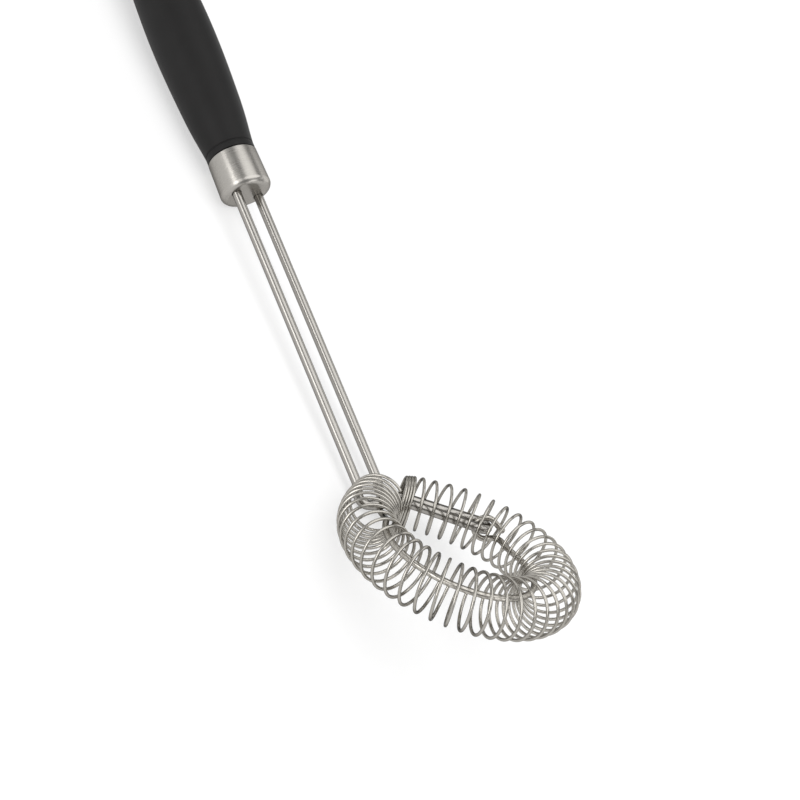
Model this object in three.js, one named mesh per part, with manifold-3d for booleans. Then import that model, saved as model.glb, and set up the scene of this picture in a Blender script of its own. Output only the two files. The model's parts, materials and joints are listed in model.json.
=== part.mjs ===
// A spiral whisk: a coil spring threaded on a wire loop, carried by two wire legs on a soft-grip handle.
// Millimetres, +Z up. The whisk lies along X on a table, on the lowest wire of its head and on the grip.
import * as THREE from "three";
import { mergeVertices } from "three/addons/utils/BufferGeometryUtils.js";
import Module from "manifold-3d";

// Fits.
const CLEARANCE = 0.3; // between pieces that touch
const LOOP_PLAY = 0.6; // between the loop wire and the inside of the coil
const FOOT_PLAY = 1.2; // between the frame wire's foot and the inside of the coil

// Frame wire: two legs that run on as a double foot inside the coil and close in an eye.
const LEG_DIAMETER = 3.2;
const LEG_SPACING = 10.6; // between the legs' centre lines
const LEG_LENGTH = 108.6; // from the ferrule to the bend above the coil
const LEG_SOCKET_DEPTH = 30; // how far each leg reaches into the handle
const LEG_BEND_RISE = 1.5; // height of that bend above the loop's plane
const LEG_BEND_RADIUS = 7;
const DIP_ANGLE = 62; // slope, in degrees, of the legs where they dip through the gap of the coil
const LEFT_ELBOW_DEPTH = 4.5; // below the loop's plane
const RIGHT_ELBOW_DEPTH = 3.5;
const ELBOW_RADIUS = 4.2;
const FOOT_START_ANGLE = -17; // degrees round the loop, counted from the handle's side
const FOOT_EYE_ANGLE = -70;
const FOOT_BEND_RADIUS = 8;
const EYE_ROUNDNESS = 0.92; // 1 would make the end of the eye a half circle

// Loop wire.
const LOOP_DIAMETER = 2.0;
const LOOP_LIFT_ANGLE = 10; // degrees: where the wire lies in the coil, above the innermost side
const LOOP_RUN_START = -98; // degrees round the loop, where the wire leaves the eye's hook
const LOOP_RUN_END = -322; // where it turns off to the left foot's hook
const EYE_HOOK_FROM = 60; // degrees round the foot wire, where the eye's hook leaves it at the cut end
const EYE_HOOK_TO = 300;
const EYE_HOOK_TAIL = 4; // straight cut end beyond that hook
const EYE_HOOK_SPREAD = 1.2; // sideways, from one end of that hook to the other
const EYE_BEND_REACH = 5; // how far the S-bend at the eye's hook keeps its first direction
const FOOT_HOOK_FROM = -90;
const FOOT_HOOK_TO = 150;
const FOOT_HOOK_AT = 0.5; // share of the way from the left elbow to the foot
const FOOT_HOOK_BEND_REACH = 7;

// Coil.
const COIL_WIRE = 1.0;
const COIL_OUTER = 17.8; // outer diameter of a turn
const COIL_RING_RADIUS = 30; // from the loop's centre to the coil's own centre line
const COIL_TURNS = 49;
const PACKED_FRONT_TURNS = 5; // close-wound turns at the end beside the left leg
const PACKED_BACK_TURNS = 3;
const PACKED_GAP = 0.5; // between close-wound turns
const FRONT_BLEND_TURNS = 6; // turns over which the pitch opens
const BACK_BLEND_TURNS = 1;
const PITCH_GROWTH = 0.12; // share by which the open pitch grows from the front to the back
const FRONT_END_GAP = 1.05; // between the left leg's side and the coil's end
const BACK_END_GAP = 0.9;
const FRONT_PLANE_ANGLE = 31; // degrees round the loop: before this, the turns stay parallel
const BACK_PLANE_ANGLE = 318; // and beyond this
const FRONT_END_PUSH = 1.0; // how far the end beside the left leg stands out from the loop
const FRONT_END_RISE = 1.5;
const FRONT_END_FADE = 55; // degrees round the loop, where the end lies on the loop again

// Handle.
const HANDLE_RISE = 34.4; // degrees between the handle's axis and the loop's plane
const FERRULE_LENGTH = 14.5;
const FERRULE_DIAMETER = 18.0; // at the leg end
const SEAM_DIAMETER = 17.4; // where the ferrule meets the grip
const FERRULE_WALL = 0.6;
const FERRULE_EDGE_RADIUS = 2.2;
const GRIP_LENGTH = 110;
const GRIP_NECK_INSET = 0.1; // how far the grip's neck lies below the ferrule's rim
const GRIP_SHOULDER_DIAMETER = 20.9;
const GRIP_SHOULDER_AT = 20.8; // from the seam
const GRIP_SWELL_DIAMETER = 23;
const GRIP_SWELL_AT = 52;
const GRIP_TAIL_DIAMETER = 20;
const GRIP_TAIL_AT = 92;
const GRIP_BUTT_FLAT = 9; // diameter of the flat at the butt
const GRIP_RING_AT = 2; // small ring groove above the seam
const GRIP_RING_DEPTH = 0.3;
const GRIP_RING_WIDTH = 0.8;
const GRIP_END_WALL = 8; // grip material beyond the core
const CORE_TANG_DIAMETER = 11; // core beyond the leg sockets
const SOCKET_FLOOR = 4; // core material below each leg's end

// Facets.
const LATHE_SEGMENTS = 32;
const LEG_SIDES = 10;
const LOOP_SIDES = 8;
const HOLE_SIDES = 16;
const COIL_SIDES = 5;
const TURN_STEPS = 8;
const BEND_STEPS = 6;
const HOOK_STEPS = 10;
const LOOP_RUN_STEPS = 36;
const EDGE_STEPS = 5;
const GRIP_STEPS = 26;

// Working limits.
const MERGE_DISTANCE = 1e-4; // closer corners become one
const GAP_POINTS = 4; // points per coil step, where the gap between turns is measured
const TILT_HALVINGS = 40;

const rad = THREE.MathUtils.degToRad;
const UP = new THREE.Vector3(0, 0, 1);
const wasm = await Module();
wasm.setup();

// A curve through given stations, close together in bends and far apart on straight runs.
class StationPath extends THREE.Curve {
  constructor(stations) {
    super();
    this.stations = stations;
  }
  indexAt(share) {
    return Math.round(share * (this.stations.length - 1));
  }
  getPointAt(share) {
    return this.stations[this.indexAt(share)].clone();
  }
  getTangentAt(share) {
    const at = this.indexAt(share);
    const last = this.stations.length - 1;
    const tangent = new THREE.Vector3();
    if (at > 0) tangent.add(direction(this.stations[at - 1], this.stations[at]));
    if (at < last) tangent.add(direction(this.stations[at], this.stations[at + 1]));
    return tangent.normalize();
  }
}

function direction(from, to) {
  return new THREE.Vector3().subVectors(to, from).normalize();
}

// Places a point round the loop: angle in degrees, radius and height in the loop's frame.
function roundLoop(angle, radius, height) {
  return new THREE.Vector3(radius * Math.cos(rad(angle)), radius * Math.sin(rad(angle)), height);
}

// Round wire along stations, with flat cut ends.
function wireGeometry(stations, diameter, sides) {
  const section = new THREE.Shape();
  for (let side = 0; side < sides; side++) {
    const turn = (2 * Math.PI * side) / sides;
    const x = (diameter / 2) * Math.cos(turn);
    const y = (diameter / 2) * Math.sin(turn);
    if (side === 0) section.moveTo(x, y);
    else section.lineTo(x, y);
  }
  section.closePath();
  return new THREE.ExtrudeGeometry(section, {
    steps: stations.length - 1,
    extrudePath: new StationPath(stations),
    bevelEnabled: false,
  });
}

// Stations of a bent wire: straight runs between corners, with an arc of the corner's radius at each.
function bentStations(corners) {
  const stations = [corners[0].at];
  for (let i = 1; i < corners.length - 1; i++) {
    const { at, radius } = corners[i];
    const into = direction(corners[i - 1].at, at);
    const out = direction(at, corners[i + 1].at);
    const turn = into.angleTo(out);
    const inward = out.clone().addScaledVector(into, -Math.cos(turn)).normalize();
    const start = at.clone().addScaledVector(into, -radius * Math.tan(turn / 2));
    for (let step = 0; step <= BEND_STEPS; step++) {
      const swept = (turn * step) / BEND_STEPS;
      const point = start.clone().addScaledVector(into, radius * Math.sin(swept));
      stations.push(point.addScaledVector(inward, radius * (1 - Math.cos(swept))));
    }
  }
  stations.push(corners[corners.length - 1].at);
  return stations;
}

// Turns a profile of [radius, distance along the axis] round the X axis.
function turnedGeometry(profile) {
  const points = profile.map(([radius, along]) => new THREE.Vector2(radius, along));
  return new THREE.LatheGeometry(points, LATHE_SEGMENTS).rotateZ(-Math.PI / 2);
}

function solidOf(geometry) {
  const bare = geometry.clone();
  bare.deleteAttribute("normal");
  bare.deleteAttribute("uv");
  const merged = mergeVertices(bare, MERGE_DISTANCE);
  const vertProperties = merged.attributes.position.array;
  const triVerts = new Uint32Array(merged.index.array);
  return new wasm.Manifold(new wasm.Mesh({ numProp: 3, vertProperties, triVerts }));
}

function geometryOf(solid) {
  const mesh = solid.getMesh();
  const geometry = new THREE.BufferGeometry();
  geometry.setAttribute("position", new THREE.BufferAttribute(mesh.vertProperties, 3));
  geometry.setIndex(new THREE.BufferAttribute(mesh.triVerts, 1));
  geometry.computeVertexNormals();
  return geometry;
}

// Cuts the two leg holes, from one distance along the handle's axis to another.
function withLegHoles(geometry, from, to) {
  let solid = solidOf(geometry);
  for (const side of [1, -1]) {
    const radius = LEG_DIAMETER / 2 + CLEARANCE;
    const hole = new THREE.CylinderGeometry(radius, radius, to - from, HOLE_SIDES);
    hole.rotateZ(-Math.PI / 2);
    hole.translate((from + to) / 2, (side * LEG_SPACING) / 2, 0);
    solid = solid.subtract(solidOf(hole));
  }
  return geometryOf(solid);
}

// The handle's frame: its axis is X, and X is 0 at the ferrule's closed end.
const legBend = new THREE.Vector3(COIL_RING_RADIUS + (COIL_OUTER + LEG_DIAMETER) / 2, 0, LEG_BEND_RISE);
const handleAxis = new THREE.Vector3(Math.cos(rad(HANDLE_RISE)), 0, Math.sin(rad(HANDLE_RISE)));
const seamAt = FERRULE_LENGTH;
const gripStart = seamAt + CLEARANCE;
const gripEnd = gripStart + GRIP_LENGTH;
const spigotRadius = SEAM_DIAMETER / 2 - FERRULE_WALL - CLEARANCE;
const tangRadius = CORE_TANG_DIAMETER / 2;
const socketEnd = LEG_SOCKET_DEPTH + SOCKET_FLOOR;
const coreStart = FERRULE_WALL + CLEARANCE;
const coreEnd = gripEnd - GRIP_END_WALL;

// Points of an arc from an axis direction to the side, for the ferrule's rounded edge.
function edgeArc(centreRadius, centreAlong, radius) {
  const points = [];
  for (let step = 0; step <= EDGE_STEPS; step++) {
    const turn = ((Math.PI / 2) * step) / EDGE_STEPS;
    points.push([centreRadius + radius * Math.sin(turn), centreAlong - radius * Math.cos(turn)]);
  }
  return points;
}

function ferruleGeometry() {
  const outer = FERRULE_DIAMETER / 2 - FERRULE_EDGE_RADIUS;
  const innerEdge = FERRULE_EDGE_RADIUS - FERRULE_WALL;
  const profile = [[0, 0]];
  profile.push(...edgeArc(outer, FERRULE_EDGE_RADIUS, FERRULE_EDGE_RADIUS));
  profile.push([SEAM_DIAMETER / 2, seamAt]);
  profile.push([SEAM_DIAMETER / 2 - FERRULE_WALL, seamAt]);
  profile.push(...edgeArc(outer, FERRULE_EDGE_RADIUS, innerEdge).reverse());
  profile.push([0, FERRULE_WALL]);
  return withLegHoles(turnedGeometry(profile), -FERRULE_WALL, coreStart);
}

function coreGeometry() {
  const nose = FERRULE_EDGE_RADIUS;
  const noseTaper = nose / 2;
  const profile = [
    [0, coreStart],
    [spigotRadius - noseTaper, coreStart],
    [spigotRadius, coreStart + nose],
    [spigotRadius, socketEnd],
    [tangRadius, socketEnd + spigotRadius - tangRadius],
    [tangRadius, coreEnd],
    [0, coreEnd],
  ];
  return withLegHoles(turnedGeometry(profile), 0, LEG_SOCKET_DEPTH + CLEARANCE);
}

// The grip's outside: a smooth swell between the neck, the palm, the tail and the rounded butt.
function gripOutline() {
  const neck = SEAM_DIAMETER / 2 - GRIP_NECK_INSET;
  const curve = new THREE.SplineCurve([
    new THREE.Vector2(GRIP_RING_AT + GRIP_RING_WIDTH, neck),
    new THREE.Vector2(GRIP_SHOULDER_AT, GRIP_SHOULDER_DIAMETER / 2),
    new THREE.Vector2(GRIP_SWELL_AT, GRIP_SWELL_DIAMETER / 2),
    new THREE.Vector2(GRIP_TAIL_AT, GRIP_TAIL_DIAMETER / 2),
  ]);
  const outline = [
    [neck, 0],
    [neck, GRIP_RING_AT],
    [neck - GRIP_RING_DEPTH, GRIP_RING_AT + GRIP_RING_WIDTH / 3],
    [neck - GRIP_RING_DEPTH, GRIP_RING_AT + (2 * GRIP_RING_WIDTH) / 3],
  ];
  for (const point of curve.getPoints(GRIP_STEPS)) outline.push([point.y, point.x]);
  const buttLength = GRIP_LENGTH - GRIP_TAIL_AT;
  const buttDrop = (GRIP_TAIL_DIAMETER - GRIP_BUTT_FLAT) / 2;
  for (let step = 1; step <= EDGE_STEPS + 1; step++) {
    const turn = ((Math.PI / 2) * step) / (EDGE_STEPS + 1);
    const radius = GRIP_BUTT_FLAT / 2 + buttDrop * Math.cos(turn);
    outline.push([radius, GRIP_TAIL_AT + buttLength * Math.sin(turn)]);
  }
  return outline;
}

function gripGeometry() {
  const bore = spigotRadius + CLEARANCE;
  const innerBore = tangRadius + CLEARANCE;
  const profile = [
    [0, coreEnd + CLEARANCE],
    [innerBore, coreEnd + CLEARANCE],
    [innerBore, socketEnd + bore - innerBore + CLEARANCE],
    [bore, socketEnd + CLEARANCE],
    [bore, gripStart],
  ];
  for (const [radius, along] of gripOutline()) profile.push([radius, gripStart + along]);
  profile.push([0, gripEnd]);
  return turnedGeometry(profile);
}

// The coil's clear bore: its turns are drawn with straight steps, which reach inwards between stations.
const coilRadius = (COIL_OUTER - COIL_WIRE) / 2;
const coilBore = coilRadius * Math.cos(Math.PI / TURN_STEPS) - COIL_WIRE / 2;
const legSide = (LEG_SPACING + LEG_DIAMETER) / 2;
const legReach = COIL_RING_RADIUS + coilRadius;
const coilStartAngle = THREE.MathUtils.radToDeg(Math.atan2(legSide + FRONT_END_GAP, legReach));
const coilEndAngle = 360 - THREE.MathUtils.radToDeg(Math.atan2(legSide + BACK_END_GAP, legReach));

// Stations of the coil: the angle round the loop grows by the local pitch, the turn runs against it.
// Turns stand across the loop, but those near the two ends stay parallel to each other.
function coilStations() {
  const steps = COIL_TURNS * TURN_STEPS;
  const backLean = rad(coilEndAngle - BACK_PLANE_ANGLE);
  const packedStep = (COIL_WIRE + PACKED_GAP) / Math.cos(backLean);
  const packedPitch = THREE.MathUtils.radToDeg(packedStep / COIL_RING_RADIUS);
  const openness = [];
  for (let step = 0; step < steps; step++) {
    const turn = (step + 0.5) / TURN_STEPS;
    const fromFront = (turn - PACKED_FRONT_TURNS) / FRONT_BLEND_TURNS;
    const fromBack = (COIL_TURNS - PACKED_BACK_TURNS - turn) / BACK_BLEND_TURNS;
    const growth = 1 + PITCH_GROWTH * (turn / COIL_TURNS - 0.5);
    openness.push(growth * THREE.MathUtils.smoothstep(Math.min(fromFront, fromBack), 0, 1));
  }
  const openTurns = openness.reduce((sum, value) => sum + value, 0) / TURN_STEPS;
  const spare = coilEndAngle - coilStartAngle - packedPitch * COIL_TURNS;
  const stations = [];
  let angle = coilStartAngle;
  for (let step = 0; step <= steps; step++) {
    const turn = (-2 * Math.PI * step) / TURN_STEPS;
    const plane = THREE.MathUtils.clamp(angle, FRONT_PLANE_ANGLE, BACK_PLANE_ANGLE);
    const fade = (FRONT_END_FADE - angle) / (FRONT_END_FADE - coilStartAngle);
    const lift = Math.max(fade, 0) ** 2;
    const point = roundLoop(angle, COIL_RING_RADIUS + FRONT_END_PUSH * lift, FRONT_END_RISE * lift);
    stations.push(point.add(roundLoop(plane, coilRadius * Math.cos(turn), coilRadius * Math.sin(turn))));
    angle += (packedPitch + (spare / openTurns) * (openness[step] ?? 0)) / TURN_STEPS;
  }
  const startRun = direction(stations[1], stations[0]).multiplyScalar(COIL_WIRE);
  const endRun = direction(stations[steps - 1], stations[steps]).multiplyScalar(COIL_WIRE);
  return [stations[0].clone().add(startRun), ...stations, stations[steps].clone().add(endRun)];
}

// Least gap between one turn of the coil and the next, on points along the wire.
function leastGap(stations) {
  const points = [];
  for (let i = 0; i + 1 < stations.length; i++) {
    for (let part = 0; part < GAP_POINTS; part++) {
      points.push(stations[i].clone().lerp(stations[i + 1], part / GAP_POINTS));
    }
  }
  const oneTurn = TURN_STEPS * GAP_POINTS;
  let least = Infinity;
  for (let i = 0; i < points.length; i++) {
    const farthest = Math.min(points.length, i + 2 * oneTurn);
    for (let j = i + oneTurn / 2; j < farthest; j++) {
      least = Math.min(least, points[i].distanceTo(points[j]));
    }
  }
  return least - COIL_WIRE;
}

// The foot: a chord inside the coil's back run, where the two wires open into an eye.
const pairOffset = (LEG_DIAMETER + CLEARANCE) / 2;
const eyeOffset = (LEG_DIAMETER + LOOP_DIAMETER) / 2 + CLEARANCE + CLEARANCE / 2;
const footStartRadius = COIL_RING_RADIUS + coilBore - pairOffset - LEG_DIAMETER / 2 - FOOT_PLAY;
const footEyeRadius = COIL_RING_RADIUS + coilBore - eyeOffset - LEG_DIAMETER / 2 - FOOT_PLAY;
const footStart = roundLoop(FOOT_START_ANGLE, footStartRadius, 0);
const footEye = roundLoop(FOOT_EYE_ANGLE, footEyeRadius, 0);
const footAlong = direction(footStart, footEye);
const footOutward = new THREE.Vector3().crossVectors(footAlong, UP).negate();
const hookRadius = (LEG_DIAMETER + LOOP_DIAMETER) / 2 + CLEARANCE;

function elbow(side, depth) {
  const drop = LEG_BEND_RISE + depth;
  return new THREE.Vector3(legBend.x - drop / Math.tan(rad(DIP_ANGLE)), (side * LEG_SPACING) / 2, -depth);
}

const leftElbow = elbow(1, LEFT_ELBOW_DEPTH);
const leftFootStart = footStart.clone().addScaledVector(footOutward, -pairOffset);

function frameCorners() {
  const leg = (side, along) => {
    const point = legBend.clone().addScaledVector(handleAxis, along);
    point.y = (side * LEG_SPACING) / 2;
    return point;
  };
  const off = (point, distance) => point.clone().addScaledVector(footOutward, distance);
  const eyeBend = eyeOffset * EYE_ROUNDNESS;
  return [
    { at: leg(1, LEG_LENGTH + LEG_SOCKET_DEPTH) },
    { at: leg(1, 0), radius: LEG_BEND_RADIUS },
    { at: leftElbow, radius: ELBOW_RADIUS },
    { at: leftFootStart, radius: FOOT_BEND_RADIUS },
    { at: off(footEye, -eyeOffset), radius: eyeBend },
    { at: off(footEye, eyeOffset), radius: eyeBend },
    { at: off(footStart, pairOffset), radius: FOOT_BEND_RADIUS },
    { at: elbow(-1, RIGHT_ELBOW_DEPTH), radius: ELBOW_RADIUS },
    { at: leg(-1, 0), radius: LEG_BEND_RADIUS },
    { at: leg(-1, LEG_LENGTH + LEG_SOCKET_DEPTH) },
  ];
}

// Part of a circle about a centre, from one angle to another in the plane of two directions.
function hookStations(centre, first, second, from, to) {
  const stations = [];
  for (let step = 0; step <= HOOK_STEPS; step++) {
    const turn = rad(from + ((to - from) * step) / HOOK_STEPS);
    const point = centre.clone().addScaledVector(first, hookRadius * Math.cos(turn));
    stations.push(point.addScaledVector(second, hookRadius * Math.sin(turn)));
  }
  return stations;
}

// An S-bend that leaves one point and reaches another along given directions, without its two ends.
function sBend(from, leaving, to, arriving, reach) {
  const first = from.clone().addScaledVector(leaving, reach);
  const second = to.clone().addScaledVector(arriving, -reach);
  return new THREE.CubicBezierCurve3(from, first, second, to).getPoints(BEND_STEPS + 2).slice(1, -1);
}

function loopStations() {
  const off = coilBore - LOOP_DIAMETER / 2 - LOOP_PLAY;
  const runRadius = COIL_RING_RADIUS - off * Math.cos(rad(LOOP_LIFT_ANGLE));
  const runHeight = off * Math.sin(rad(LOOP_LIFT_ANGLE));
  const run = [];
  for (let step = 0; step <= LOOP_RUN_STEPS; step++) {
    const angle = LOOP_RUN_START + ((LOOP_RUN_END - LOOP_RUN_START) * step) / LOOP_RUN_STEPS;
    run.push(roundLoop(angle, runRadius, runHeight));
  }
  const runWay = (angle) => roundLoop(angle - 90, 1, 0);
  const eyeHook = hookStations(footEye, footAlong, UP, EYE_HOOK_FROM, EYE_HOOK_TO);
  eyeHook.forEach((at, step) => {
    at.addScaledVector(footOutward, EYE_HOOK_SPREAD * (0.5 - step / HOOK_STEPS));
  });
  const eyeWay = (angle) => {
    const way = footAlong.clone().multiplyScalar(-Math.sin(rad(angle)));
    return way.addScaledVector(UP, Math.cos(rad(angle)));
  };
  const eyeTail = eyeHook[0].clone().addScaledVector(eyeWay(EYE_HOOK_FROM), -EYE_HOOK_TAIL);
  const footWay = direction(leftElbow, leftFootStart);
  const hookUp = UP.clone().addScaledVector(footWay, -footWay.z).normalize();
  const hookOut = new THREE.Vector3().crossVectors(hookUp, footWay);
  const hookCentre = leftElbow.clone().lerp(leftFootStart, FOOT_HOOK_AT);
  const footHook = hookStations(hookCentre, hookOut, hookUp, FOOT_HOOK_FROM, FOOT_HOOK_TO);
  const eyeBend = sBend(
    eyeHook[HOOK_STEPS],
    eyeWay(EYE_HOOK_TO),
    run[0],
    runWay(LOOP_RUN_START),
    EYE_BEND_REACH,
  );
  const footBend = sBend(
    run[LOOP_RUN_STEPS],
    runWay(LOOP_RUN_END),
    footHook[0],
    hookOut,
    FOOT_HOOK_BEND_REACH,
  );
  return [eyeTail, ...eyeHook, ...eyeBend, ...run, ...footBend, ...footHook];
}

function piece(name, geometry, color, roughness, metalness) {
  const mesh = new THREE.Mesh(geometry, new THREE.MeshStandardMaterial({ color, roughness, metalness }));
  mesh.name = name;
  return mesh;
}

// The handle's pieces share one axis, which rises from the loop's plane.
const handle = new THREE.Group();
handle.position.copy(legBend).addScaledVector(handleAxis, LEG_LENGTH);
handle.rotation.y = -rad(HANDLE_RISE);
handle.add(piece("ferrule", ferruleGeometry(), 0xb9b5ad, 0.32, 1));
handle.add(piece("handle_core", coreGeometry(), 0x2b2b2d, 0.6, 0));
handle.add(piece("grip", gripGeometry(), 0x1b1b1d, 0.65, 0));

const framePath = bentStations(frameCorners());
const coilPath = coilStations();
console.log("least gap between the coil's turns", leastGap(coilPath).toFixed(2), "mm");
const lying = new THREE.Group();
lying.add(handle);
const frameGeometry = wireGeometry(framePath, LEG_DIAMETER, LEG_SIDES);
const loopGeometry = wireGeometry(loopStations(), LOOP_DIAMETER, LOOP_SIDES);
const coilGeometry = wireGeometry(coilPath, COIL_WIRE, COIL_SIDES);
lying.add(piece("frame_wire", frameGeometry, 0xc6c2ba, 0.22, 1));
lying.add(piece("loop_wire", loopGeometry, 0xa9a49b, 0.3, 1));
lying.add(piece("whisk_coil", coilGeometry, 0xa9a49b, 0.28, 1));

// The table's tilt against the loop's plane: the head's wires and the grip reach equally low.
function restingTilt() {
  const lowest = (points, tilt) => {
    const heights = points.map(({ at, radius }) => at.z * Math.cos(tilt) - at.x * Math.sin(tilt) - radius);
    return Math.min(...heights);
  };
  const headPoints = [
    ...coilPath.map((at) => ({ at, radius: COIL_WIRE / 2 })),
    ...framePath.map((at) => ({ at, radius: LEG_DIAMETER / 2 })),
  ];
  const gripPoints = gripOutline().map(([radius, along]) => ({
    at: handle.position.clone().addScaledVector(handleAxis, gripStart + along),
    radius,
  }));
  let [low, high] = [0, Math.PI / 2];
  for (let halving = 0; halving < TILT_HALVINGS; halving++) {
    const middle = (low + high) / 2;
    if (lowest(headPoints, middle) < lowest(gripPoints, middle)) low = middle;
    else high = middle;
  }
  return low;
}

lying.rotation.y = restingTilt();
lying.updateMatrixWorld(true);
const extent = new THREE.Box3().setFromObject(lying, true);
const middle = extent.getCenter(new THREE.Vector3());
lying.position.set(-middle.x, -middle.y, -extent.min.z);

const whisk = new THREE.Group();
whisk.add(lying);

export default whisk;
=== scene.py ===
"""A spiral whisk: a coil spring threaded on a wire loop, on two wire legs with a soft-grip handle."""
import json

import bmesh
import bpy
import numpy as np
from mathutils import Matrix, Vector


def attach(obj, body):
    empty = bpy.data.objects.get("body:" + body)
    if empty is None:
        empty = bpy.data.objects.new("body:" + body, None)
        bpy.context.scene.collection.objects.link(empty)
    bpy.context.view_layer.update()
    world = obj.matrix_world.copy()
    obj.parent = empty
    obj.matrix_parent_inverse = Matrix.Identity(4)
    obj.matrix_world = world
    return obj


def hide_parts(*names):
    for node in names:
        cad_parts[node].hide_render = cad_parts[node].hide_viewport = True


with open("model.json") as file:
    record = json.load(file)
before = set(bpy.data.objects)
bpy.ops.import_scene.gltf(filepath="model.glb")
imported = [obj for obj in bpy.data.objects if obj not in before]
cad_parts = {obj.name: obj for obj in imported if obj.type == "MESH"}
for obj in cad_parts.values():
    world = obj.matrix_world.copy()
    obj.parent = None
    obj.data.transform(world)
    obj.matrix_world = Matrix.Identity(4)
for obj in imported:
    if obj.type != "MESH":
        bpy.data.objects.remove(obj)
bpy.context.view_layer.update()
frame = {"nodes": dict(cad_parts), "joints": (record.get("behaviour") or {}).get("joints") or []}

# The loop's own frame: origin at the loop's centre, x towards the handle, z along the coil's hinge.
# Sizes are in millimetres. A place on the loop has its angle counted from the handle's side.
MM = 0.001
coil_hinge = next(joint for joint in frame["joints"] if joint["name"] == "coil_slip")
LOOP_CENTRE = np.array(coil_hinge["pos_m"]) / MM
TABLE_TILT = np.arctan2(coil_hinge["axis"][0], coil_hinge["axis"][2])
UP = np.array([0.0, 0.0, 1.0])
ACROSS = np.array([0.0, 1.0, 0.0])
CLEARANCE = 0.3

# Frame wire: two legs, their elbows, and a foot that ends in an eye.
LEG_DIAMETER = 3.2
LEG_SPACING = 10.6
LEG_LENGTH = 108.6  # from the bend beside the coil to the ferrule
LEG_SOCKET_DEPTH = 30
LEG_BEND_RISE = 1.5  # height of that bend above the loop's plane
LEG_BEND_RADIUS = 7
DIP_ANGLE = np.radians(62)  # slope of the run from the bend down to the elbow
LEFT_ELBOW_DEPTH = 4.5
RIGHT_ELBOW_DEPTH = 3.5
ELBOW_RADIUS = 4.2
FOOT_START_ANGLE = np.radians(-17)
FOOT_EYE_ANGLE = np.radians(-70)
FOOT_BEND_RADIUS = 8
FOOT_PLAY = 1.2  # between the foot and the coil's bore
EYE_ROUNDNESS = 0.92  # bend radius as a share of the eye's half width
LEG_POINT_SPACING = 0.6

# Loop wire: a hook through the eye, the run inside the coil, and a hook round the left foot.
LOOP_DIAMETER = 2.0
LOOP_PLAY = 0.6  # between the run and the coil's bore
LOOP_LIFT_ANGLES = np.radians([0, 7])  # how far up from the bore's innermost side the run's ends lie
LOOP_RUN = np.radians([-98, -322])
LOOP_RUN_POINTS = 180
EYE_HOOK = np.radians([60, 300])
EYE_HOOK_RADIUS = 3.55
EYE_HOOK_SAG = 0.5  # how far its centre lies below the eye, and back along the foot
EYE_HOOK_SPREAD = 1.2  # sideways, from its cut end to its other end
EYE_HOOK_TAIL = 5
EYE_HOOK_TAIL_POINTS = 12
EYE_BEND_REACH = 5
FOOT_HOOK = np.radians([-90, 150])
FOOT_HOOK_AT = 0.5  # share of the way from the left elbow to the start of its foot
FOOT_HOOK_BEND_REACH = 7
REFERENCE_EASING = 13  # points to each side over which a reference direction turns into the next

# Coil: the even turns that the other wires are fitted to, then the turns as they lie.
COIL_WIRE = 1.0
COIL_OUTER = 17.8
COIL_RING_RADIUS = 30
EVEN_TURN_SIDES = 8
TURN_RADII = (8.6, 9.15, 9.0, 8.25)
TURN_RADII_AT = np.radians([12, 240, 305, 336])
RING_FLATTENING = 0.8  # how much nearer the middle the ring runs at its far side
COIL_SPAN = np.radians([12.5, 350.6])
COIL_START_TURN = np.radians(130)
FRONT_PITCH = np.radians(5)
FRONT_OPENING = np.radians([34, 48])
OPEN_PITCH = np.radians(7.78)
PITCH_GROWTH = np.radians(1.1)
PITCH_GROWTH_SPAN = np.radians([150, 340])
BACK_PITCH = np.radians(2.2)
BACK_CLOSING = np.radians([341, 343.5])
PITCH_SUM_POINTS = 40001
PLANE_SPAN = np.radians([20, 309])  # beyond it the turns stay parallel
PLANE_LAG = np.radians(7)
PLANE_LAG_SPAN = np.radians([262, 318])
FRONT_END_PUSH = 1.1
FRONT_END_RISE = 1.4
FRONT_END_FADE = np.radians(55)
BACK_PULL = np.radians(1)
BACK_PULL_SPAN = np.radians([306, 330])
BACK_LEAN = np.radians(4)
BACK_LEAN_SPAN = np.radians([312, 332])
BACK_END_PUSH = 1.4
BACK_PUSH_SPAN = np.radians([325, 343])

# Handle: distances along it start at the ferrule's closed end, and those on the grip at its neck.
HANDLE_RISE = np.radians(34.4)
FERRULE_LENGTH = 14.5
FERRULE_DIAMETER = 18.0
FERRULE_WALL = 0.6
FERRULE_EDGE_RADIUS = 2.2
FERRULE_EDGE_SPLIT = np.radians(65)  # where the end walls' rays meet the turned side on that edge
FERRULE_LIP = 0.12
LEG_HOLE_PLAY = 0.18
SEAM_DIAMETER = 17.4
GRIP_LENGTH = 110
GRIP_NECK_INSET = 0.1
GRIP_LIP = 0.15
GRIP_RING_AT = 2
GRIP_RING_DEPTH = 0.3
GRIP_RING_WIDTH = 0.8
GRIP_SHOULDER = (20.8, 20.9)  # distance and diameter, as in the next two
GRIP_SWELL = (52, 23)
GRIP_TAIL = (92, 20)
GRIP_BUTT_FLAT = 9
GRIP_END_WALL = 8
CORE_TANG_DIAMETER = 11
SOCKET_FLOOR = 4
HALF_COLUMNS = 48
DIVIDE_POINTS = 24
END_WALL_RINGS = 12


# Numbers and frames.
def unit(vectors):
    """Each vector divided by its own length."""
    return vectors / np.linalg.norm(vectors, axis=-1, keepdims=True)


def share(values, span):
    """How far values lie along a span: 0 up to its start, 1 from its end on."""
    return np.clip((values - span[0]) / (span[1] - span[0]), 0, 1)


def ramp(values, span):
    """0 before a span and 1 beyond it, with a smooth step between: three squares less two cubes."""
    part = share(values, span)
    return part ** 2 * (3 - 2 * part)


def lengths_along(path):
    """Length from a path's start to each of its points, along straight lines."""
    return np.concatenate([[0], np.cumsum(np.linalg.norm(np.diff(path, axis=0), axis=1))])


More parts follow.
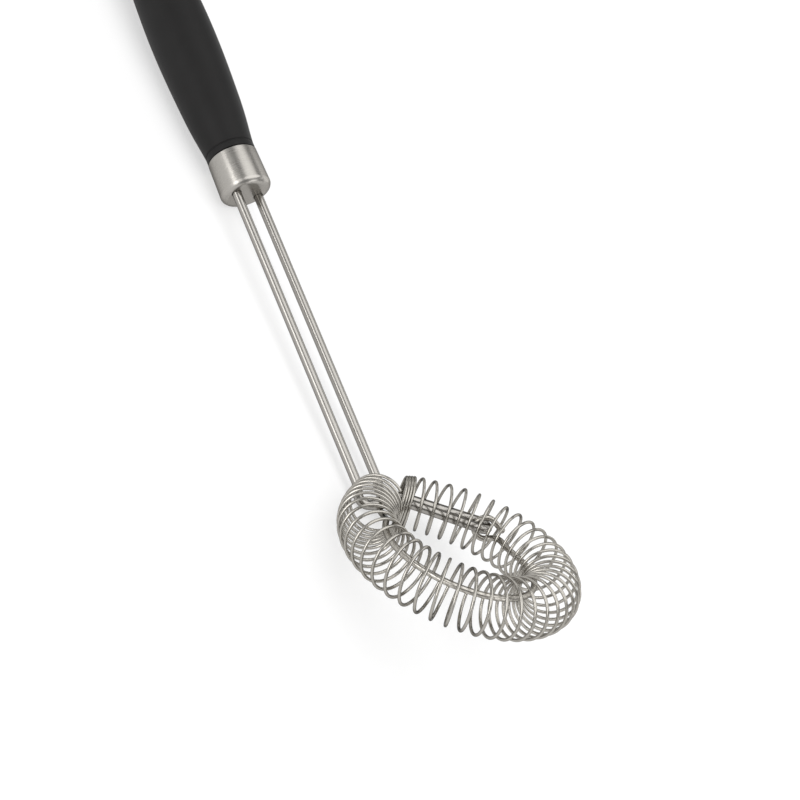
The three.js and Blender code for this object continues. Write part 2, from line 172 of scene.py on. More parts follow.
def round_loop(angle, radius, height):
    """Points round the loop's centre at an angle, a radius and a height."""
    angle, radius, height = np.broadcast_arrays(angle, radius, height)
    return np.stack([radius * np.cos(angle), radius * np.sin(angle), height], -1)


def lay_down(points):
    """Points of the loop's frame turned about Y by the tilt and moved to the loop's place, in metres."""
    c, s = np.cos(TABLE_TILT), np.sin(TABLE_TILT)
    turn = np.array([[c, 0, s], [0, 1, 0], [-s, 0, c]])
    return (points @ turn.T + LOOP_CENTRE) * MM


# Places that the wires and the handle share.
HANDLE_AXIS = np.array([np.cos(HANDLE_RISE), 0, np.sin(HANDLE_RISE)])
HANDLE_TOP = np.array([-np.sin(HANDLE_RISE), 0, np.cos(HANDLE_RISE)])
LEG_BEND = np.array([COIL_RING_RADIUS + (COIL_OUTER + LEG_DIAMETER) / 2, 0, LEG_BEND_RISE])
COIL_BORE = (COIL_OUTER - COIL_WIRE) / 2 * np.cos(np.pi / EVEN_TURN_SIDES) - COIL_WIRE / 2
PAIR_OFFSET = (LEG_DIAMETER + CLEARANCE) / 2
EYE_OFFSET = (LEG_DIAMETER + LOOP_DIAMETER) / 2 + 1.5 * CLEARANCE
FOOT_HOOK_RADIUS = (LEG_DIAMETER + LOOP_DIAMETER) / 2 + CLEARANCE
FOOT_REACH = COIL_RING_RADIUS + COIL_BORE - LEG_DIAMETER / 2 - FOOT_PLAY
FOOT_START = round_loop(FOOT_START_ANGLE, FOOT_REACH - PAIR_OFFSET, 0)
FOOT_EYE = round_loop(FOOT_EYE_ANGLE, FOOT_REACH - EYE_OFFSET, 0)
FOOT_ALONG = unit(FOOT_EYE - FOOT_START)
FOOT_OUTWARD = np.cross(UP, FOOT_ALONG)


def elbow(side, depth):
    """Corner below the loop's plane where a leg that dips at the dip angle turns into the foot."""
    drop = LEG_BEND_RISE + depth
    return np.array([LEG_BEND[0] - drop / np.tan(DIP_ANGLE), side * LEG_SPACING / 2, -depth])


LEFT_ELBOW = elbow(1, LEFT_ELBOW_DEPTH)
RIGHT_ELBOW = elbow(-1, RIGHT_ELBOW_DEPTH)
LEFT_FOOT_START = FOOT_START - PAIR_OFFSET * FOOT_OUTWARD
RIGHT_FOOT_START = FOOT_START + PAIR_OFFSET * FOOT_OUTWARD


def on_handle(along, across, above):
    """Points at a distance along the handle's axis from the ferrule's end, across it and above it."""
    start = LEG_BEND + LEG_LENGTH * HANDLE_AXIS
    along, across, above = (np.asarray(part)[..., None] for part in (along, across, above))
    return start + along * HANDLE_AXIS + across * ACROSS + above * HANDLE_TOP


# Meshes. A surface is its points, its faces as corner arrays, and one UV pair per corner.
def grid_faces(rows, columns):
    """Corner rows and columns of the quads between neighbouring grid lines, with the columns in a ring."""
    i, j = np.meshgrid(np.arange(rows - 1), np.arange(columns), indexing="ij")
    i, j = i.ravel(), j.ravel()
    return np.stack([i, i, i + 1, i + 1], 1), np.stack([j, j + 1, j + 1, j], 1)


def close_seams(mesh, distance=1e-7):
    """Joins points that lie on each other, so that patches share their edges."""
    work = bmesh.new()
    work.from_mesh(mesh)
    bmesh.ops.remove_doubles(work, verts=work.verts, dist=distance)
    work.to_mesh(mesh)
    work.free()


def new_piece(name, surface, body, node, material, sharp_angle=40):
    """A mesh object from a surface of the loop's frame, on a body, in place of a node."""
    points, faces, uvs = surface
    mesh = bpy.data.meshes.new(name)
    corners = [face for block in faces for face in block.tolist()]
    mesh.from_pydata(lay_down(points).tolist(), [], corners)
    layer = mesh.uv_layers.new(name="surface")
    layer.data.foreach_set("uv", np.concatenate([np.reshape(uv, -1) for uv in uvs]).astype(np.float32))
    close_seams(mesh)
    mesh.shade_smooth()
    mesh.set_sharp_from_angle(angle=np.radians(sharp_angle))
    mesh.materials.append(material)
    piece = bpy.data.objects.new(name, mesh)
    bpy.context.collection.objects.link(piece)
    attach(piece, body)
    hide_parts(node)


# Wires.
def with_tips(path, normals, radius, bevel):
    """Adds a bevelled cut at both ends of a wire: one more ring, smaller and further out by the bevel."""
    ends = unit(np.stack([path[0] - path[1], path[-1] - path[-2]])) * bevel
    path = np.concatenate([path[:1] + ends[:1], path, path[-1:] + ends[1:]])
    normals = np.concatenate([normals[:1], normals, normals[-1:]])
    radii = np.full(len(path), radius)
    radii[[0, -1]] = radius - bevel
    return path, normals, radii


def tube(path, normals, radii, sides):
    """Rings of a round wire: at each path point, a circle of the given radius in the plane of the normal
    and of the tangent crossed with it. UV: length along the wire and length round it."""
    tangents = unit(np.gradient(path, axis=0))
    normals = unit(normals - np.sum(normals * tangents, 1, keepdims=True) * tangents)
    sideways = np.cross(tangents, normals)
    turn = np.linspace(0, 2 * np.pi, sides, endpoint=False)
    ring = np.cos(turn)[None, :, None] * normals[:, None] + np.sin(turn)[None, :, None] * sideways[:, None]
    rings = path[:, None] + radii[:, None, None] * ring
    length = lengths_along(path)
    rows, columns = grid_faces(len(path), sides)
    quads = rows * sides + columns % sides
    uv = np.stack([length[rows], columns * (np.pi * radii.max() * 2 / sides)], -1)
    points = np.concatenate([rings.reshape(-1, 3), path[:1], path[-1:]])
    side = np.arange(sides)
    first, last = np.full(sides, len(points) - 2), np.full(sides, len(points) - 1)
    end_row = (len(path) - 1) * sides
    start_cap = np.stack([first, (side + 1) % sides, side], 1)
    end_cap = np.stack([last, end_row + side, end_row + (side + 1) % sides], 1)
    cap_uv = np.zeros((sides, 3, 2))
    return points, [quads, start_cap, end_cap], [uv, cap_uv, cap_uv + length[-1]]


def wire(path, normals, diameter, sides, bevel):
    """A round wire along a path, with a bevelled cut at both ends."""
    path, normals, radii = with_tips(path, normals, diameter / 2, bevel)
    return tube(path, normals, radii, sides)


def bent_path(corners, radii, steps=16):
    """A bent wire's centre line: straight runs between corners, and at each corner an arc of its radius
    that leaves the first run at radius times the tangent of half the turn before the corner."""
    corners = np.array(corners)
    radii = np.array(radii)
    into = unit(corners[1:-1] - corners[:-2])
    out = unit(corners[2:] - corners[1:-1])
    turn = np.arccos(np.clip(np.sum(into * out, 1), -1, 1))
    inward = unit(out - np.cos(turn)[:, None] * into)
    start = corners[1:-1] - into * (radii * np.tan(turn / 2))[:, None]
    swept = turn[:, None] * np.linspace(0, 1, steps + 1)
    arcs = start[:, None] + into[:, None] * (radii[:, None] * np.sin(swept))[..., None]
    arcs = arcs + inward[:, None] * (radii[:, None] * (1 - np.cos(swept)))[..., None]
    return np.concatenate([corners[:1], arcs.reshape(-1, 3), corners[-1:]])


def evened(path, spacing):
    """Points at about one spacing along the path, with straight lines between its points."""
    length = lengths_along(path)
    at = np.linspace(0, length[-1], int(length[-1] / spacing) + 1)
    return np.stack([np.interp(at, length, path[:, k]) for k in range(3)], 1)


def eased(values, reach):
    """Running mean of rows over a reach to both sides, so that a step becomes a ramp."""
    padded = np.pad(values, ((reach, reach), (0, 0)), mode="edge")
    total = np.concatenate([np.zeros((1, 3)), np.cumsum(padded, axis=0)])
    return (total[2 * reach + 1:] - total[:-2 * reach - 1]) / (2 * reach + 1)


def bezier(a, b, c, d, steps=16):
    """A cubic curve from a to d that leaves towards b and arrives from c, without its two ends."""
    t = np.linspace(0, 1, steps + 1)[1:-1, None]
    return (1 - t) ** 3 * a + 3 * (1 - t) ** 2 * t * b + 3 * (1 - t) * t ** 2 * c + t ** 3 * d


def hook(centre, first, second, radius, span, steps=32):
    """Part of a circle about a centre, in the plane of two directions."""
    turn = np.linspace(span[0], span[1], steps + 1)[:, None]
    return centre + radius * (np.cos(turn) * first + np.sin(turn) * second)


def frame_wire_path():
    """From the left leg's end in the handle, down the leg, along the foot, round the eye and back up."""
    left = LEG_BEND + ACROSS * LEG_SPACING / 2
    right = LEG_BEND - ACROSS * LEG_SPACING / 2
    reach = HANDLE_AXIS * (LEG_LENGTH + LEG_SOCKET_DEPTH)
    corners = [
        left + reach, left, LEFT_ELBOW, LEFT_FOOT_START,
        FOOT_EYE - EYE_OFFSET * FOOT_OUTWARD, FOOT_EYE + EYE_OFFSET * FOOT_OUTWARD,
        RIGHT_FOOT_START, RIGHT_ELBOW, right, right + reach,
    ]
    eye = EYE_OFFSET * EYE_ROUNDNESS
    leg_side = [LEG_BEND_RADIUS, ELBOW_RADIUS, FOOT_BEND_RADIUS]
    return evened(bent_path(corners, leg_side + [eye, eye] + leg_side[::-1]), LEG_POINT_SPACING)


def loop_wire_path():
    """Cut tail, eye hook, S-bend, run round the loop inside the coil, S-bend and hook round the left foot,
    with one reference direction for each part: across the eye, up, and along the foot."""
    off = COIL_BORE - LOOP_DIAMETER / 2 - LOOP_PLAY
    run_angle = np.linspace(LOOP_RUN[0], LOOP_RUN[1], LOOP_RUN_POINTS)
    lift = np.linspace(LOOP_LIFT_ANGLES[0], LOOP_LIFT_ANGLES[1], LOOP_RUN_POINTS)
    run = round_loop(run_angle, COIL_RING_RADIUS - off * np.cos(lift), off * np.sin(lift))
    run_way = round_loop(run_angle - np.pi / 2, 1, 0)
    eye_centre = FOOT_EYE - EYE_HOOK_SAG * (FOOT_ALONG + UP)
    eye_hook = hook(eye_centre, FOOT_ALONG, UP, EYE_HOOK_RADIUS, EYE_HOOK)
    eye_hook += np.linspace(0.5, -0.5, len(eye_hook))[:, None] * EYE_HOOK_SPREAD * FOOT_OUTWARD
    cut_way, exit_way = (np.cos(turn) * UP - np.sin(turn) * FOOT_ALONG for turn in EYE_HOOK)
    tail_lengths = np.linspace(EYE_HOOK_TAIL, 0, EYE_HOOK_TAIL_POINTS, endpoint=False)
    eye_tail = eye_hook[0] - tail_lengths[:, None] * cut_way
    foot_way = unit(LEFT_FOOT_START - LEFT_ELBOW)
    hook_up = unit(UP - foot_way[2] * foot_way)
    hook_out = np.cross(hook_up, foot_way)
    hook_centre = LEFT_ELBOW + (LEFT_FOOT_START - LEFT_ELBOW) * FOOT_HOOK_AT
    foot_hook = hook(hook_centre, hook_out, hook_up, FOOT_HOOK_RADIUS, FOOT_HOOK)
    eye_bend = bezier(eye_hook[-1], eye_hook[-1] + exit_way * EYE_BEND_REACH,
                      run[0] - run_way[0] * EYE_BEND_REACH, run[0])
    foot_bend = bezier(run[-1], run[-1] + run_way[-1] * FOOT_HOOK_BEND_REACH,
                       foot_hook[0] - hook_out * FOOT_HOOK_BEND_REACH, foot_hook[0])
    parts = [eye_tail, eye_hook, eye_bend, run, foot_bend, foot_hook]
    references = [FOOT_OUTWARD, FOOT_OUTWARD, FOOT_OUTWARD, UP, UP, foot_way]
    normals = np.repeat(references, [len(part) for part in parts], axis=0)
    return np.concatenate(parts), eased(normals, REFERENCE_EASING)


def coil_pitch(angle):
    """Angle gained per turn: small at the front end, wide and growing between, and least at the back end."""
    pitch = OPEN_PITCH + PITCH_GROWTH * share(angle, PITCH_GROWTH_SPAN)
    pitch = FRONT_PITCH + (pitch - FRONT_PITCH) * ramp(angle, FRONT_OPENING)
    return pitch + (BACK_PITCH - pitch) * ramp(angle, BACK_CLOSING)


def coil_path(steps_per_turn=48):
    """A helix bent round the loop, where the turns passed at an angle are the sum of one over the pitch.
    Each turn is a circle about a point of the ring, with a radius that changes along the coil. The ring is
    nearer the middle at its far side. The circles lie across the ring, but they lag behind at the back and
    stay parallel at both ends. The front end stands out and up, fading with the square. The back end is
    pulled towards the legs and pushed out in the plane of its circles, whose tops lean towards the legs."""
    angle = np.linspace(COIL_SPAN[0], COIL_SPAN[1], PITCH_SUM_POINTS)
    pitch = coil_pitch(angle)
    turns = np.concatenate([[0], np.cumsum(np.diff(angle) * 2 / (pitch[1:] + pitch[:-1]))])
    passed = np.arange(0, turns[-1], 1 / steps_per_turn)
    angle = np.interp(passed, turns, angle)
    angle = angle + BACK_PULL * ramp(angle, BACK_PULL_SPAN)
    turn = COIL_START_TURN - 2 * np.pi * passed
    front = share(angle, (FRONT_END_FADE, COIL_SPAN[0])) ** 2
    flattening = RING_FLATTENING * np.clip(-np.cos(angle), 0, 1) ** 2
    ring = COIL_RING_RADIUS - flattening + FRONT_END_PUSH * front
    plane = np.clip(angle - PLANE_LAG * ramp(angle, PLANE_LAG_SPAN), PLANE_SPAN[0], PLANE_SPAN[1])
    pushed = round_loop(plane, BACK_END_PUSH * ramp(angle, BACK_PUSH_SPAN), 0)
    centre = round_loop(angle, ring, FRONT_END_RISE * front) + pushed
    radius = np.interp(angle, TURN_RADII_AT, TURN_RADII)
    outward = round_loop(plane, radius * np.cos(turn), radius * np.sin(turn))
    lean = np.tan(BACK_LEAN) * ramp(angle, BACK_LEAN_SPAN) * radius * np.sin(turn)
    return centre + outward + round_loop(plane + np.pi / 2, lean, 0), outward


# Handle.
def lathe(profile, columns=2 * HALF_COLUMNS):
    """A profile of distances along the handle's axis and radii, turned about that axis. A pole is a radius
    of nought, whose ring is one point once the seams are closed. UV: the length round the widest ring and
    the length along the profile."""
    profile = np.asarray(profile, float)
    turn = np.linspace(0, 2 * np.pi, columns, endpoint=False)
    along = np.broadcast_to(profile[:, :1], (len(profile), columns))
    points = on_handle(along, profile[:, 1:] * np.cos(turn), profile[:, 1:] * np.sin(turn))
    rows, cols = grid_faces(len(profile), columns)
    uv = np.stack([cols * (2 * np.pi * profile[:, 1].max() / columns), lengths_along(profile)[rows]], -1)
    return points.reshape(-1, 3), rows * columns + cols % columns, uv


def end_height(radius, start, edge):
    """Height of the ferrule's end at a radius: flat, then the quarter circle of the edge's radius."""
    beyond = np.maximum(radius - (FERRULE_DIAMETER / 2 - FERRULE_EDGE_RADIUS), 0)
    return start + edge - np.sqrt(np.maximum(edge ** 2 - beyond ** 2, 0))


def edge_arc(angle, start, edge):
    """Profile points on that quarter circle, at angles from the flat."""
    shoulder = FERRULE_DIAMETER / 2 - FERRULE_EDGE_RADIUS
    return np.stack([start + edge * (1 - np.cos(angle)), shoulder + edge * np.sin(angle)], 1)


def end_wall(start, edge, sign):
    """One half of the ferrule's end: straight rays from a leg hole's rim to the half disc's edge, at the
    height that the rounded end has at that radius. The other half is the same, turned half round the axis.
    UV: the length round the axis and the radius."""
    reach = edge_arc(np.array([FERRULE_EDGE_SPLIT]), start, edge)[0, 1]
    arc = np.linspace(0, np.pi, HALF_COLUMNS + 1)
    straight = np.linspace(-1, 1, DIVIDE_POINTS + 2)[1:-1]
    half_circle = np.stack([np.sin(arc), np.cos(arc)], 1)
    divide = np.stack([0 * straight, straight], 1)
    rim = np.concatenate([half_circle, divide]) * reach
    middle = np.array([LEG_SPACING / 2, 0])
    hole = middle + unit(rim - middle) * (LEG_DIAMETER / 2 + LEG_HOLE_PLAY)
    flat = hole + (rim - hole) * np.linspace(0, 1, END_WALL_RINGS + 1)[:, None, None]
    radius = np.linalg.norm(flat, axis=-1)
    uv = np.stack([np.arctan2(flat[..., 1], flat[..., 0]) * FERRULE_DIAMETER / 2, radius], -1)
    return on_handle(end_height(radius, start, edge), sign * flat[..., 0], sign * flat[..., 1]), uv


def ferrule_ends():
    """Both halves of the end, outside and inside, with the short walls of the leg holes: grids of points
    and UV pairs, and whether the corners go round the other way."""
    sheets = []
    for sign in (1, -1):
        outside, outside_uv = end_wall(0, FERRULE_EDGE_RADIUS, sign)
        inside, inside_uv = end_wall(FERRULE_WALL, FERRULE_EDGE_RADIUS - FERRULE_WALL, sign)
        hole_wall = np.stack([inside[0], outside[0]])
        hole_uv = np.stack([inside_uv[0], outside_uv[0]])
        sheets += [(outside, outside_uv, True), (inside, inside_uv, False), (hole_wall, hole_uv, True)]
    return sheets


def ferrule_surface(edge_steps=8):
    """A thin cup: the end walls with their leg holes, and a turned profile up the outer side, over the rim
    and down the inner side."""
    blocks, faces, uvs = [], [], []
    count = 0
    for points, uv, turned in ferrule_ends():
        columns = points.shape[1]
        r, c = grid_faces(len(points), columns)
        quads = (r * columns + c % columns)[:, ::-1 if turned else 1]
        blocks.append(points.reshape(-1, 3))
        faces.append(quads + count)
        uvs.append(uv.reshape(-1, 2)[quads])
        count += len(points) * columns
    rise = np.linspace(FERRULE_EDGE_SPLIT, np.pi / 2, edge_steps)
    outer, inner = SEAM_DIAMETER / 2, SEAM_DIAMETER / 2 - FERRULE_WALL
    rim = [
        [FERRULE_LENGTH - FERRULE_LIP, outer], [FERRULE_LENGTH, outer - FERRULE_LIP],
        [FERRULE_LENGTH, inner + FERRULE_LIP], [FERRULE_LENGTH - FERRULE_LIP, inner],
    ]
    outer_edge = edge_arc(rise, 0, FERRULE_EDGE_RADIUS)
    inner_edge = edge_arc(rise[::-1], FERRULE_WALL, FERRULE_EDGE_RADIUS - FERRULE_WALL)
    points, quads, uv = lathe(np.concatenate([outer_edge, rim, inner_edge]))
    return np.concatenate(blocks + [points]), faces + [quads + count], uvs + [uv]


def spline(knots, steps):
    """A curve through knots whose direction at each one is half the way between its neighbours."""
    knots = np.asarray(knots, float)
    ends = np.concatenate([2 * knots[:1] - knots[1:2], knots, 2 * knots[-1:] - knots[-2:-1]])
    at = np.linspace(0, len(knots) - 1, steps + 1)
    k = np.minimum(at.astype(int), len(knots) - 2)
    t = (at - k)[:, None]
    slope_a, slope_b = (ends[k + 2] - ends[k]) / 2, (ends[k + 3] - ends[k + 1]) / 2
    a, b = ends[k + 1], ends[k + 2]
    return ((2 * t ** 3 - 3 * t ** 2 + 1) * a + (t ** 3 - 2 * t ** 2 + t) * slope_a
            + (3 * t ** 2 - 2 * t ** 3) * b + (t ** 3 - t ** 2) * slope_b)


def grip_bore(start):
    """Profile of the grip's inside, from its floor out to the neck: round the core's tang, a cone, and
    round the spigot that carries the ferrule."""
    spigot = SEAM_DIAMETER / 2 - FERRULE_WALL
    tang = CORE_TANG_DIAMETER / 2 + CLEARANCE
    socket_end = LEG_SOCKET_DEPTH + SOCKET_FLOOR + CLEARANCE
    bore_end = start + GRIP_LENGTH - GRIP_END_WALL + CLEARANCE
    cone_end = socket_end + spigot - tang
    return [[bore_end, 0], [bore_end, tang], [cone_end, tang], [socket_end, spigot], [start, spigot]]


def grip_surface(groove_steps=12, swell_steps=90, butt_steps=24):
    """The grip as a turned profile: its bore, the neck's face, a ring groove in half a sine wave, the swell
    through its knots, and the butt as a quarter of an ellipse that ends in a flat."""
    start = FERRULE_LENGTH + CLEARANCE
    neck = SEAM_DIAMETER / 2 - GRIP_NECK_INSET
    face = [[0, neck - GRIP_LIP], [GRIP_LIP, neck]]
    ring = np.linspace(0, np.pi, groove_steps + 1)
    groove_at = GRIP_RING_AT + GRIP_RING_WIDTH * ring / np.pi
    groove = np.stack([groove_at, neck - GRIP_RING_DEPTH * np.sin(ring)], 1)
    knots = [[GRIP_RING_AT + GRIP_RING_WIDTH, neck]]
    knots += [[at, diameter / 2] for at, diameter in (GRIP_SHOULDER, GRIP_SWELL, GRIP_TAIL)]
    swell = spline(knots, swell_steps)[1:]
    tail_at, tail = GRIP_TAIL[0], GRIP_TAIL[1] / 2
    flat = GRIP_BUTT_FLAT / 2
    turn = np.linspace(0, np.pi / 2, butt_steps + 1)[1:]
    butt_at = tail_at + (GRIP_LENGTH - tail_at) * np.sin(turn)
    butt = np.stack([butt_at, flat + (tail - flat) * np.cos(turn)], 1)
    outside = np.concatenate([face, groove, swell, butt, [[GRIP_LENGTH, 0]]])
    points, quads, uv = lathe(np.concatenate([grip_bore(start), outside + [start, 0]]))
    return points, [quads], [uv]


# Finishes.
MIX_DARK, MIX_LIGHT, MIX_COLOUR = 6, 7, 2  # the colour sockets of a mix node


def new_finish(name):
    """A material, its node tree and its shader."""
    material = bpy.data.materials.new(name)
    material.use_nodes = True
    return material, material.node_tree, material.node_tree.nodes["Principled BSDF"]


def noise(tree, vector, scale, detail):
    """A noise pattern over a vector, as a value."""
    pattern = tree.nodes.new("ShaderNodeTexNoise")
    pattern.inputs["Scale"].default_value = scale
    pattern.inputs["Detail"].default_value = detail
    tree.links.new(vector, pattern.inputs["Vector"])
    return pattern.outputs["Fac"]


def vary(tree, shader, shade, grain, light, dark, rough, relief, depth):
    """The shade pattern mixes the dark colour with the light one, and the grain sets gloss and relief."""
    tint = tree.nodes.new("ShaderNodeMix")
    tint.data_type = "RGBA"
    tint.inputs[MIX_DARK].default_value = (*dark, 1)
    tint.inputs[MIX_LIGHT].default_value = (*light, 1)
    gloss = tree.nodes.new("ShaderNodeMapRange")
    gloss.inputs["To Min"].default_value = rough[0]
    gloss.inputs["To Max"].default_value = rough[1]
    bump = tree.nodes.new("ShaderNodeBump")
    bump.inputs["Strength"].default_value = relief
    bump.inputs["Distance"].default_value = depth * MM
    link = tree.links.new
    link(shade, tint.inputs["Factor"])
    link(tint.outputs[MIX_COLOUR], shader.inputs["Base Color"])
    link(grain, gloss.inputs["Value"])
    link(gloss.outputs["Result"], shader.inputs["Roughness"])
    link(grain, bump.inputs["Height"])
    link(bump.outputs["Normal"], shader.inputs["Normal"])


def steel(name, light, dark, edge, rough, streak, depth):
    """Drawn or brushed steel: fine streaks along the first UV direction vary the colour, gloss and relief,
    and the reflection dims towards the edge value where the surface turns away."""
    material, tree, shader = new_finish(name)
    shader.inputs["Metallic"].default_value = 1.0
    shader.inputs["Specular Tint"].default_value = (edge, edge, edge, 1)
    uv = tree.nodes.new("ShaderNodeUVMap")
    uv.uv_map = "surface"
    stretch = tree.nodes.new("ShaderNodeMapping")
    stretch.inputs["Scale"].default_value = streak
    tree.links.new(uv.outputs["UV"], stretch.inputs["Vector"])
    lines = noise(tree, stretch.outputs["Vector"], scale=1.0, detail=4.0)
    vary(tree, shader, lines, lines, light, dark, rough, relief=0.25, depth=depth)
    return material


def soft_black(name, light, dark, rough, grain, depth):
    """Moulded black rubber or plastic: a fine grain varies relief and gloss, and a slow one the colour."""
    material, tree, shader = new_finish(name)
    shader.inputs["Specular IOR Level"].default_value = 0.16
    place = tree.nodes.new("ShaderNodeTexCoord").outputs["Object"]
    fine = noise(tree, place, scale=grain, detail=3.0)
    slow = noise(tree, place, scale=grain / 40, detail=2.0)
    vary(tree, shader, slow, fine, light, dark, rough, relief=0.4, depth=depth)
    return material


leg_steel = steel(
    "bright drawn leg wire", light=(0.40, 0.385, 0.36), dark=(0.28, 0.268, 0.25),
    edge=0.2, rough=(0.14, 0.26), streak=(0.15, 9, 1), depth=0.02)
coil_steel = steel(
    "drawn coil wire", light=(0.465, 0.445, 0.407), dark=(0.325, 0.311, 0.285),
    edge=0.2, rough=(0.13, 0.24), streak=(0.2, 12, 1), depth=0.01)
loop_steel = steel(
    "drawn loop wire", light=(0.52, 0.497, 0.455), dark=(0.39, 0.372, 0.34),
    edge=0.2, rough=(0.16, 0.28), streak=(0.2, 10, 1), depth=0.015)
ferrule_steel = steel(
    "satin brushed ferrule", light=(0.45, 0.432, 0.404), dark=(0.34, 0.326, 0.304),
    edge=0.3, rough=(0.22, 0.34), streak=(0.1, 14, 1), depth=0.02)
grip_rubber = soft_black(
    "soft-touch grip rubber", light=(0.013, 0.0125, 0.0125), dark=(0.009, 0.0087, 0.0087),
    rough=(0.46, 0.62), grain=4000, depth=0.03)
core_plastic = soft_black(
    "moulded core plastic", light=(0.06, 0.06, 0.064), dark=(0.045, 0.045, 0.048),
    rough=(0.5, 0.62), grain=2000, depth=0.03)

# Pieces. The core keeps its own mesh.
legs_path = frame_wire_path()
legs = wire(legs_path, np.broadcast_to(UP, legs_path.shape), LEG_DIAMETER, sides=32, bevel=0.3)
new_piece("leg_and_foot_wire", legs, "frame", "frame_wire", leg_steel)
hooked_loop = wire(*loop_wire_path(), LOOP_DIAMETER, sides=24, bevel=0.2)
new_piece("hooked_loop_wire", hooked_loop, "frame", "loop_wire", loop_steel)
spring = wire(*coil_path(), COIL_WIRE, sides=14, bevel=0.1)
new_piece("spring_coil", spring, "coil", "whisk_coil", coil_steel)
new_piece("end_ferrule", ferrule_surface(), "frame", "ferrule", ferrule_steel)
new_piece("soft_grip", grip_surface(), "frame", "grip", grip_rubber)
frame["nodes"]["handle_core"].material_slots[0].material = core_plastic

# Stage, in metres.
FLOOR_FLAT = 6.0
FLOOR_REACH = 40.0
FLOOR_RISE = 8.0
FLOOR_DROP = 0.0002
FLOOR_WHITENESS = 0.55
ROOM_GREY = 0.30
LAMP_TARGET = (-0.05, 0, 0.02)
VIEW_PLACE = Vector((-0.19210, 0.34517, 0.25622))
VIEW_FORWARD = Vector((0.29227, -0.79832, -0.52656))
VIEW_UP = Vector((0.86189, -0.01871, 0.50676))
VIEW_LENS = 62.37
VIEW_SENSOR = 36


def sweep_floor(rings=24, columns=96):
    """A round floor: flat out to its flat radius, then as high as the square of the share of the way from
    there to its edge."""
    reach = np.concatenate([[0], np.linspace(FLOOR_FLAT, FLOOR_REACH, rings + 1)])
    height = FLOOR_RISE * share(reach, (FLOOR_FLAT, FLOOR_REACH)) ** 2 - FLOOR_DROP
    turn = np.linspace(0, 2 * np.pi, columns, endpoint=False)
    points = round_loop(turn, reach[:, None], height[:, None])
    rows, cols = grid_faces(len(reach), columns)
    return points.reshape(-1, 3), (rows * columns + cols % columns)[:, ::-1]


def added(tree, first, second):
    """The sum of two values."""
    total = tree.nodes.new("ShaderNodeMath")
    total.operation = "ADD"
    tree.links.new(first, total.inputs[0])
    tree.links.new(second, total.inputs[1])
    return total.outputs["Value"]


def white_paper():
    """Matt white paper. To the camera, in reflections and through clear bodies, a share is plain white."""
    material, tree, shader = new_finish("white paper floor")
    shader.inputs["Base Color"].default_value = (0.95, 0.95, 0.95, 1)
    shader.inputs["Roughness"].default_value = 0.9
    shader.inputs["Specular IOR Level"].default_value = 0.1
    white = tree.nodes.new("ShaderNodeEmission")
    white.inputs["Strength"].default_value = 1.0
    rays = tree.nodes.new("ShaderNodeLightPath").outputs
    seen = added(tree, rays["Is Camera Ray"], rays["Is Glossy Ray"])
    seen = added(tree, seen, rays["Is Transmission Ray"])
    part = tree.nodes.new("ShaderNodeMath")
    part.operation = "MULTIPLY"
    part.inputs[1].default_value = FLOOR_WHITENESS
    whiter = tree.nodes.new("ShaderNodeMixShader")
    link = tree.links.new
    link(seen, part.inputs[0])
    link(part.outputs["Value"], whiter.inputs["Fac"])
    link(shader.outputs["BSDF"], whiter.inputs[1])
    link(white.outputs["Emission"], whiter.inputs[2])
    link(whiter.outputs["Shader"], tree.nodes["Material Output"].inputs["Surface"])
    return material


def lay_floor():
    """The pale floor that the whisk lies on."""
    points, quads = sweep_floor()
    mesh = bpy.data.meshes.new("pale_floor")
    mesh.from_pydata(points.tolist(), [], quads.tolist())
    close_seams(mesh)
    mesh.shade_smooth()
    mesh.materials.append(white_paper())
    floor = bpy.data.objects.new("pale_floor", mesh)
    bpy.context.collection.objects.link(floor)


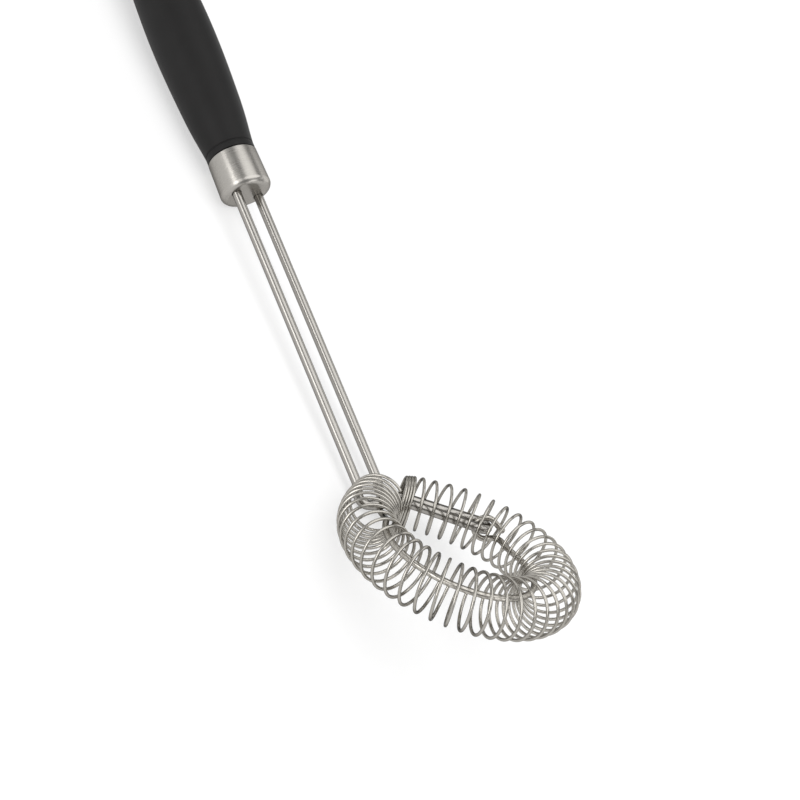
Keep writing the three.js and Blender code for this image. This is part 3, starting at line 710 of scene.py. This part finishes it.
def grey_room():
    """An even grey all round, for soft fill light."""
    world = bpy.data.worlds.new("soft grey room")
    world.use_nodes = True
    background = world.node_tree.nodes["Background"]
    background.inputs["Color"].default_value = (ROOM_GREY, ROOM_GREY, ROOM_GREY, 1)
    background.inputs["Strength"].default_value = 1.0
    bpy.context.scene.world = world


def soft_box(name, place, size, power):
    """A rectangular lamp at a place that faces the lamps' target."""
    lamp = bpy.data.lights.new(name, "AREA")
    lamp.shape = "RECTANGLE"
    lamp.size, lamp.size_y = size
    lamp.energy = power
    box = bpy.data.objects.new(name, lamp)
    box.location = place
    box.rotation_euler = (Vector(LAMP_TARGET) - Vector(place)).to_track_quat("-Z", "Y").to_euler()
    bpy.context.collection.objects.link(box)


def sky_panel(angle, power, tilt):
    """A wide soft light from above, tilted about X and Y."""
    lamp = bpy.data.lights.new("sky_panel", "SUN")
    lamp.angle = np.radians(angle)
    lamp.energy = power
    sky = bpy.data.objects.new("sky_panel", lamp)
    sky.rotation_euler = (*np.radians(tilt), 0)
    bpy.context.collection.objects.link(sky)


def photo_camera():
    """A camera at the view's place, whose axes are the view's right, its up and the reverse of its way."""
    forward = VIEW_FORWARD.normalized()
    right = forward.cross(VIEW_UP).normalized()
    up = right.cross(forward)
    lens = bpy.data.cameras.new("photo_view")
    lens.lens = VIEW_LENS
    lens.sensor_width = VIEW_SENSOR
    lens.clip_start = 0.01
    camera = bpy.data.objects.new("photo_view", lens)
    turn = Matrix((right, up, -forward)).transposed().to_4x4()
    camera.matrix_world = Matrix.Translation(VIEW_PLACE) @ turn
    bpy.context.collection.objects.link(camera)
    bpy.context.scene.camera = camera


lay_floor()
grey_room()
soft_box("front_strip", (-0.05, 1.0, 0.20), size=(1.2, 0.26), power=3.6)
soft_box("front_panel", (-0.05, 1.0, 0.55), size=(1.2, 0.5), power=2.2)
soft_box("back_panel", (-0.05, -1.2, 0.62), size=(1.6, 1.0), power=5.6)
soft_box("side_box", (-0.95, -0.25, 0.45), size=(0.5, 0.5), power=1.5)
soft_box("handle_end_box", (1.15, 0.0, 0.75), size=(1.2, 0.7), power=3.0)
sky_panel(angle=70, power=1.75, tilt=(-4, -3))
photo_camera()
bpy.context.scene.view_settings.view_transform = "Standard"
